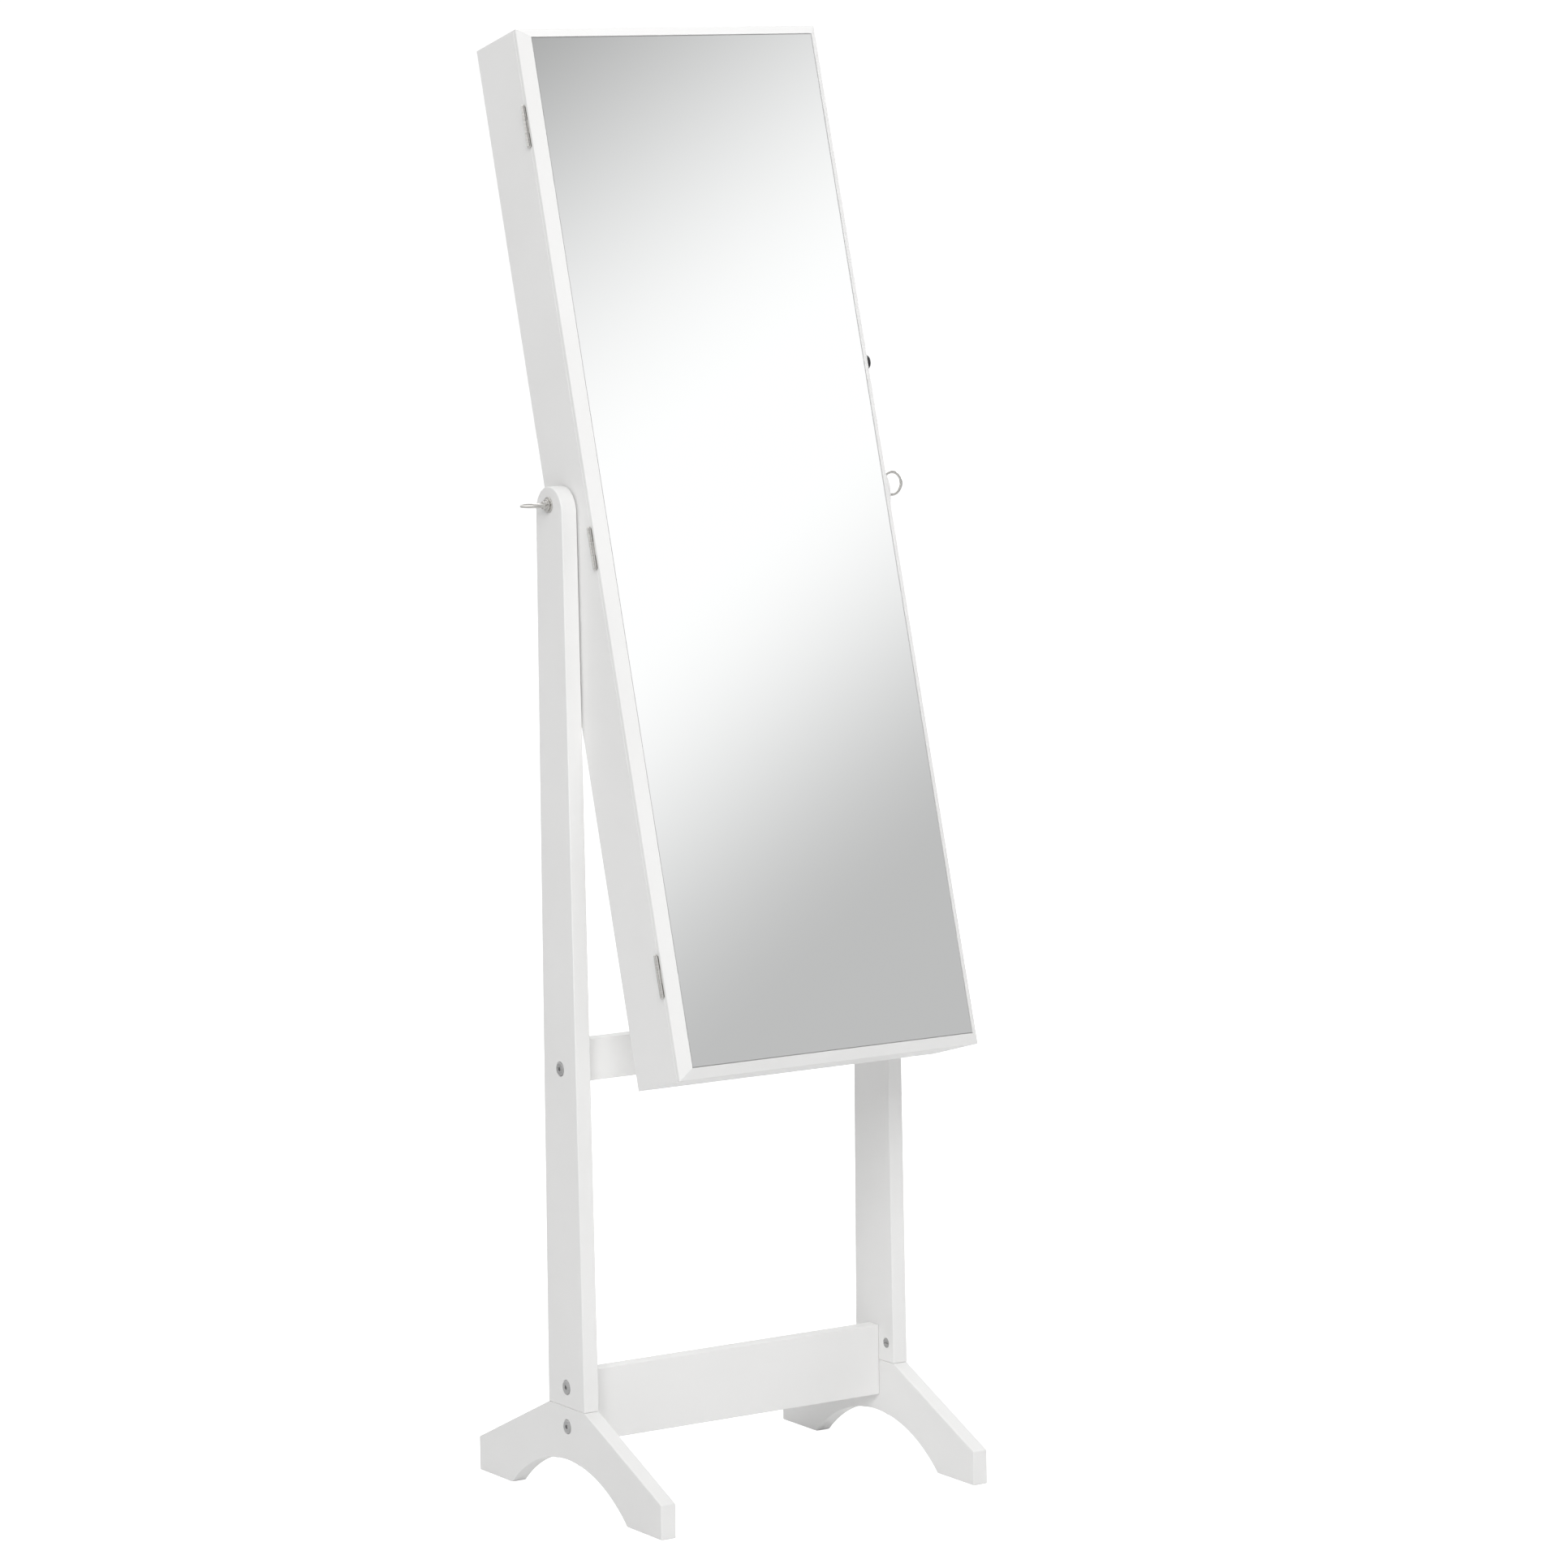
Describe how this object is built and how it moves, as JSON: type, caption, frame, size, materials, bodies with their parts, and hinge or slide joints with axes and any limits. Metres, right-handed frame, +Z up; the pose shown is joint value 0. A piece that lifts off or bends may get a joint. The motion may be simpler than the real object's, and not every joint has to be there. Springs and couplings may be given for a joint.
{
  "type": "cheval floor mirror",
  "caption": "Free-standing tilting full-length mirror on a two-legged stand: the mirror is the hinged, lockable door of a shallow jewellery cabinet hung on ring bolts.",
  "frame": {"origin": "middle of the whole object's bounding box, on the floor", "axes": "+Z up, -Y out of the mirror's front, +X to the right of a person who faces the mirror"},
  "size_m": [0.4472, 0.3806, 1.4617],
  "materials": {
    "white_paint": "satin white paint on fibreboard",
    "white_board": "smooth white-faced hardboard",
    "steel": "zinc-plated",
    "nickel": "bright nickel plate",
    "clear_plastic": "clear gloss acrylic",
    "beech": "plain beech",
    "velvet": "short black velvet",
    "hook_brass": "bright brass plate",
    "white_plastic": "matt white plastic",
    "magnet_black": "dull dark ferrite",
    "lock_black": "satin black",
    "mirror": "silvered mirror glass"
  },
  "bodies": {
    "stand": {"left_upright": "white_paint", "right_upright": "white_paint", "left_foot": "white_paint", "right_foot": "white_paint", "lower_stretcher": "white_paint", "upper_stretcher": "white_paint", "stretcher_bolts": "steel", "stretcher_nuts": "steel", "foot_bolts": "steel", "foot_nuts": "steel", "stand_dowels": "beech"},
    "cabinet": {"left_side": "white_paint", "right_side": "white_paint", "top_panel": "white_paint", "bottom_panel": "white_paint", "back_panel": "white_board", "back_screws": "steel", "lining": "velvet", "carcase_dowels": "beech", "pivot_inserts": "steel", "pivot_spacers": "white_plastic", "hook_rail": "white_paint", "necklace_hooks": "hook_brass", "earring_panel": "clear_plastic", "earring_standoffs": "nickel", "ring_tray": "white_paint", "ring_rolls": "velvet", "bracelet_rod": "velvet", "rod_brackets": "white_paint", "shelf_1": "white_paint", "shelf_2": "white_paint", "shelf_3": "white_paint", "retaining_rails": "nickel", "lock_housing": "lock_black", "lock_nut": "steel", "catch_housing": "white_plastic", "catch_magnet": "magnet_black", "cabinet_hinge_leaves": "nickel", "cabinet_hinge_screws": "steel", "hinge_pins": "nickel"},
    "door": {"door_left_stile": "white_paint", "door_right_stile": "white_paint", "door_top_rail": "white_paint", "door_bottom_rail": "white_paint", "mirror_glass": "mirror", "door_back_panel": "white_board", "door_hinge_leaves": "nickel", "door_hinge_screws": "steel", "lock_keeper": "steel", "keeper_screws": "steel", "catch_strike": "steel"},
    "left_ring_bolt": {"left_ring_bolt": "nickel", "left_washer": "nickel"},
    "right_ring_bolt": {"right_ring_bolt": "nickel", "right_washer": "nickel"},
    "lock_cylinder": {"lock_cylinder": "nickel", "lock_cam": "steel", "cam_screw": "steel"}
  },
  "joints": [
    {"name": "cabinet_tilt", "type": "hinge", "parent": "stand", "child": "cabinet", "pos_m": [0, 0.01278, 1], "axis": [-1, 0, 0], "range_deg": [-10, 15]},
    {"name": "door_swing", "type": "hinge", "parent": "cabinet", "child": "door", "pos_m": [-0.1767, -0.0417, 0.95677], "axis": [0, -0.2622, -0.965], "range_deg": [0, 120]},
    {"name": "left_bolt_turn", "type": "hinge", "parent": "cabinet", "child": "left_ring_bolt", "pos_m": [-0.193, 0.01278, 1], "axis": [-1, 0, 0], "range_deg": [0, 180]},
    {"name": "right_bolt_turn", "type": "hinge", "parent": "cabinet", "child": "right_ring_bolt", "pos_m": [0.193, 0.01278, 1], "axis": [1, 0, 0], "range_deg": [0, 180]},
    {"name": "lock_turn", "type": "hinge", "parent": "cabinet", "child": "lock_cylinder", "pos_m": [0.1625, 0.01156, 1.12365], "axis": [1, 0, 0], "range_deg": [0, 90]}
  ]
}
